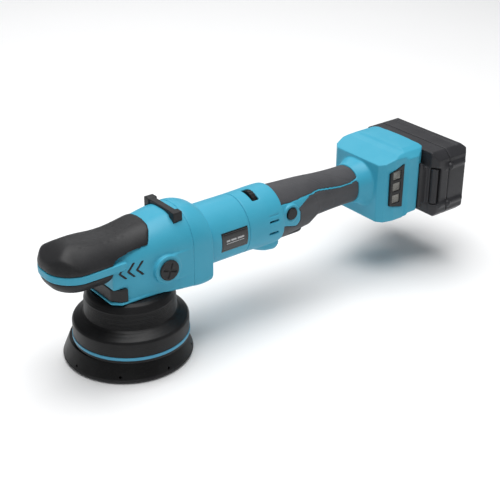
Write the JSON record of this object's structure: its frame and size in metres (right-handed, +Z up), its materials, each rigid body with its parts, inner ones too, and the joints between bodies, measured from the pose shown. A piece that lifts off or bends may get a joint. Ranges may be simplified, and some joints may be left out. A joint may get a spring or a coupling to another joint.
{
  "type": "dual action polisher",
  "caption": "Cordless dual action polisher: a palm-rest head drives an orbiting, free-spinning backing plate, with a barrel motor, rubber grip, trigger and slide-on battery pack.",
  "frame": {"origin": "on the drive axis, in the plane of the backing plate's face", "axes": "+X from the head to the battery pack along the motor, +Z up, away from the surface being polished"},
  "size_m": [0.4854, 0.1284, 0.1465],
  "materials": {
    "teal_plastic": "satin moulded ABS, teal",
    "teal_ring": "satin",
    "black_rubber": "soft-touch overmoulded rubber",
    "shroud_rubber": "satin rubber",
    "black_plastic": "fine spark texture",
    "pack_plastic": "satin moulded",
    "plate_black": "gloss print",
    "dial_plastic": "ridged wheel",
    "window_mesh": "fine mesh",
    "plate_urethane": "satin urethane",
    "cushion_foam": "soft urethane cushion",
    "hook_fabric": "hook-and-loop",
    "cast_aluminium": "as cast",
    "steel": "ground",
    "dark_steel": "blackened",
    "gear_steel": "cut and hardened",
    "weight_iron": "sintered",
    "copper": "enamelled wire and tinned copper",
    "board_green": "solder mask",
    "cell_wrap": "shrink sleeve",
    "nickel": "nickel strip"
  },
  "bodies": {
    "housing": {"gear_case": "cast_aluminium", "gear_case_screws": "steel", "spindle_top_bearing": "steel", "bearing_plate": "cast_aluminium", "spindle_bearing": "steel", "head_cover": "teal_plastic", "palm_grip": "black_rubber", "chevron_inlays": "black_rubber", "nose_lower_grip": "black_rubber", "front_pad": "black_rubber", "socket_plugs": "black_plastic", "bumper": "black_rubber", "shroud": "shroud_rubber", "shroud_ring": "teal_ring", "motor_housing": "teal_plastic", "label_plate": "plate_black", "underside_feet": "black_rubber", "stator": "weight_iron", "stator_coils": "copper", "motor_front_bearing": "steel", "motor_rear_bearing": "steel", "motor_end_bracket": "black_plastic", "handle_shell_left": "teal_plastic", "handle_shell_right": "teal_plastic", "upper_grip_rubber": "black_rubber", "lower_grip_rubber": "black_rubber", "window_frames": "black_plastic", "window_meshes": "window_mesh", "terminal_block": "black_plastic", "terminal_blades": "copper", "trigger_switch": "black_plastic", "dial_potentiometer": "board_green", "controller_board": "board_green", "controller_heatsink": "cast_aluminium", "casing_screws": "steel"},
    "drive": {"spindle": "steel", "ring_gear": "gear_steel", "counterweight": "weight_iron", "eccentric_bearings": "steel"},
    "pad": {"pad_spindle": "steel", "backing_plate": "plate_urethane", "pad_cushion": "cushion_foam", "hook_face": "hook_fabric", "pad_washer": "dark_steel", "pad_bolt": "dark_steel"},
    "rotor": {"rotor_shaft": "steel", "rotor_core": "weight_iron", "cooling_fan": "black_plastic", "pinion": "gear_steel"},
    "trigger": {"trigger": "black_plastic"},
    "lock_button": {"lock_button": "black_plastic"},
    "speed_dial": {"speed_dial": "dial_plastic"},
    "battery": {"pack_upper_case": "pack_plastic", "pack_lower_case": "pack_plastic", "pack_cells": "cell_wrap", "pack_cell_links": "nickel", "pack_board": "board_green", "pack_contacts": "copper", "pack_screws": "dark_steel"},
    "release_button": {"release_button": "pack_plastic"}
  },
  "joints": [
    {"name": "spindle_spin", "type": "hinge", "parent": "housing", "child": "drive", "pos_m": [0, 0, 0], "axis": [0, 0, 1], "continuous": true},
    {"name": "pad_spin", "type": "hinge", "parent": "drive", "child": "pad", "pos_m": [0.00039, 0.00749, 0], "axis": [0, 0, 1], "continuous": true},
    {"name": "rotor_spin", "type": "hinge", "parent": "housing", "child": "rotor", "pos_m": [0, 0, 0.102], "axis": [1, 0, 0], "continuous": true},
    {"name": "trigger_pull", "type": "hinge", "parent": "housing", "child": "trigger", "pos_m": [0.1695, 0, 0.0892], "axis": [0, -1, 0], "range_deg": [0, 5], "stiffness_Nm_per_rad": 1.5, "springref_deg": -5.73},
    {"name": "lock_press", "type": "slide", "parent": "housing", "child": "lock_button", "axis": [0, 1, 0], "range_m": [0, 0.0025], "stiffness_N_per_m": 800, "springref_m": -0.002},
    {"name": "dial_turn", "type": "hinge", "parent": "housing", "child": "speed_dial", "pos_m": [0.1375, -0.00517, 0.12441], "axis": [1, 0, 0], "range_deg": [-130, 130]},
    {"name": "pack_slide", "type": "slide", "parent": "housing", "child": "battery", "axis": [0, -1, 0], "range_m": [0, 0.12]},
    {"name": "release_press", "type": "slide", "parent": "battery", "child": "release_button", "axis": [1, 0, 0], "range_m": [0, 0.0018], "stiffness_N_per_m": 1500, "springref_m": -0.002}
  ],
  "couplings": [
    {"joint": "rotor_spin", "follows": "spindle_spin", "ratio": 3}
  ]
}
